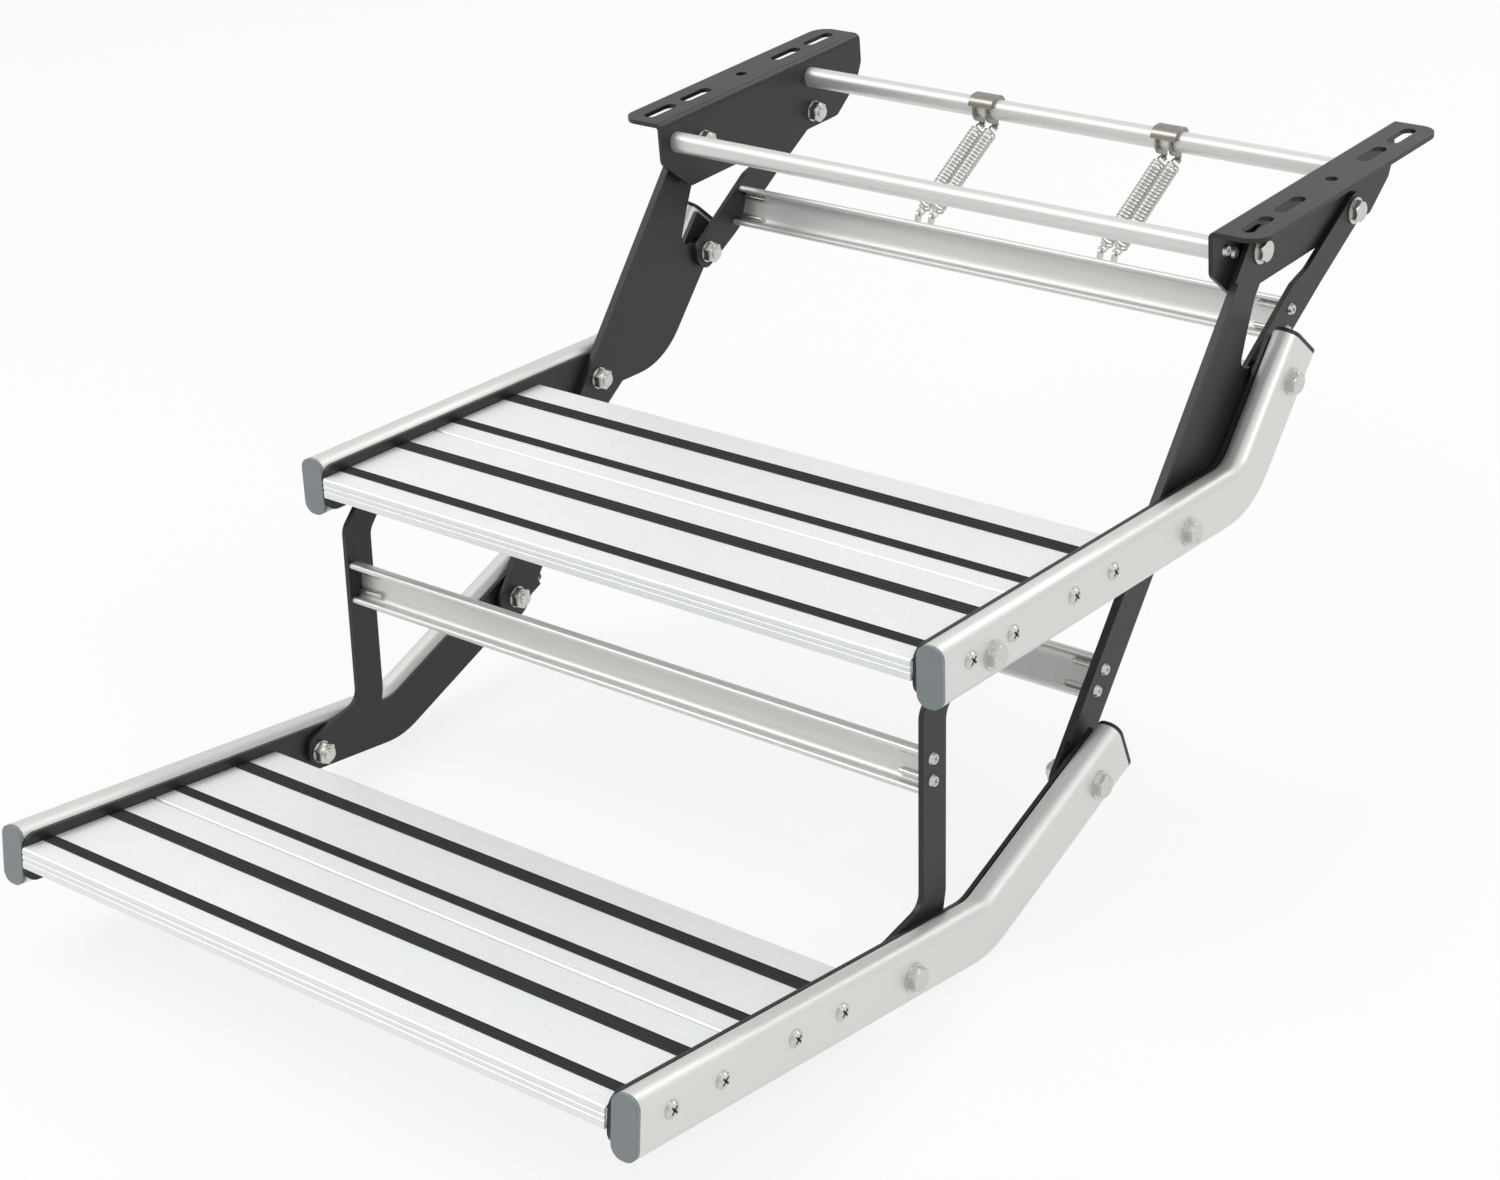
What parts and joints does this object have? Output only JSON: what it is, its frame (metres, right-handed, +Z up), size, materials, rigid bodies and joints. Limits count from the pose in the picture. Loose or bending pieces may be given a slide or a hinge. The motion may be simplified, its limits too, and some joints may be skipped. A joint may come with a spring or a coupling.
{
  "type": "caravan_entry_step",
  "caption": "Fold-out double entry step for a caravan or camper, with aluminium treads on swinging steel arms",
  "frame": {"origin": "middle of the mounting pattern, in the plane where the two bracket flanges meet the vehicle's floor", "axes": "+X across the doorway, +Y towards the vehicle, +Z up; the treads hang out towards -Y"},
  "size_m": [0.5826, 0.9514, 0.3881],
  "materials": {
    "black_steel": "satin black powder coat on sheet steel",
    "anodised_rail": "satin anodised aluminium section",
    "tread_alloy": "bright natural aluminium section with fine grooves",
    "zinc_plate": "zinc-plated steel",
    "grip_rubber": "charcoal ribbed rubber",
    "cap_plastic": "blue-grey moulded plastic",
    "black_plastic": "black moulded plastic"
  },
  "bodies": {
    "frame": {"bracket_left": "black_steel", "bracket_right": "black_steel", "front_bar": "anodised_rail", "rear_bar": "anodised_rail", "bracket_screws": "zinc_plate", "arm_pivot_bolts": "zinc_plate", "arm_pivot_nuts": "zinc_plate", "arm_pivot_spacers": "black_steel", "rear_link_bolts": "zinc_plate", "rear_link_nuts": "zinc_plate", "spring_hangers": "zinc_plate"},
    "arms": {"arm_left": "black_steel", "arm_right": "black_steel", "arm_bar": "anodised_rail", "arm_bar_screws": "zinc_plate"},
    "rear_links": {"rear_link_left": "black_steel", "rear_link_right": "black_steel", "link_bar": "anodised_rail", "link_bar_screws": "zinc_plate", "rear_link_studs": "zinc_plate", "spring_anchors": "zinc_plate"},
    "springs": {"spring_left": "zinc_plate", "spring_right": "zinc_plate"},
    "upper_step": {"upper_rail_left": "anodised_rail", "upper_rail_right": "anodised_rail", "upper_side_plate_left": "black_steel", "upper_side_plate_right": "black_steel", "upper_front_plank": "tread_alloy", "upper_rear_plank": "tread_alloy", "upper_grip_strips": "grip_rubber", "upper_front_caps": "cap_plastic", "upper_rear_caps": "black_plastic", "upper_tread_screws": "zinc_plate", "upper_pivot_bolts": "zinc_plate", "upper_pivot_nuts": "zinc_plate", "upper_link_bolts": "zinc_plate", "upper_link_spacers": "black_steel", "front_link_bolts": "zinc_plate", "front_link_nuts": "zinc_plate"},
    "front_links": {"front_link_left": "black_steel", "front_link_right": "black_steel", "front_link_bar": "anodised_rail", "front_link_screws": "zinc_plate", "front_link_studs": "zinc_plate"},
    "lower_step": {"lower_rail_left": "anodised_rail", "lower_rail_right": "anodised_rail", "lower_side_plate_left": "black_steel", "lower_side_plate_right": "black_steel", "lower_front_plank": "tread_alloy", "lower_rear_plank": "tread_alloy", "lower_grip_strips": "grip_rubber", "lower_front_caps": "cap_plastic", "lower_rear_caps": "black_plastic", "lower_tread_screws": "zinc_plate", "lower_pivot_bolts": "zinc_plate", "lower_pivot_nuts": "zinc_plate", "lower_link_bolts": "zinc_plate"}
  },
  "joints": [
    {"name": "arm_fold", "type": "hinge", "parent": "frame", "child": "arms", "pos_m": [0, -0.08, -0.028], "axis": [1, 0, 0], "range_deg": [0, 92]},
    {"name": "rear_link_turn", "type": "hinge", "parent": "frame", "child": "rear_links", "pos_m": [0, 0.061, -0.0465], "axis": [1, 0, 0], "range_deg": [0, 134.2]},
    {"name": "upper_step_turn", "type": "hinge", "parent": "arms", "child": "upper_step", "pos_m": [0, -0.2185, -0.1815], "axis": [1, 0, 0], "range_deg": [-90.6, 0]},
    {"name": "lower_step_turn", "type": "hinge", "parent": "arms", "child": "lower_step", "pos_m": [0, -0.3365, -0.3225], "axis": [1, 0, 0], "range_deg": [-96, 0]},
    {"name": "front_link_turn", "type": "hinge", "parent": "upper_step", "child": "front_links", "pos_m": [0, -0.4525, -0.168], "axis": [1, 0, 0], "range_deg": [0, 76.3]},
    {"name": "spring_turn", "type": "hinge", "parent": "frame", "child": "springs", "pos_m": [0, 0.06193, -0.03103], "axis": [1, 0, 0], "range_deg": [0, 118], "deforming": ["spring_left", "spring_right"]}
  ],
  "couplings": [
    {"joint": "rear_link_turn", "follows": "arm_fold", "ratio": 1.4532},
    {"joint": "upper_step_turn", "follows": "arm_fold", "ratio": -0.97927},
    {"joint": "lower_step_turn", "follows": "arm_fold", "ratio": -1.0377},
    {"joint": "front_link_turn", "follows": "arm_fold", "ratio": 0.82376},
    {"joint": "spring_turn", "follows": "arm_fold", "ratio": 1.2774}
  ]
}
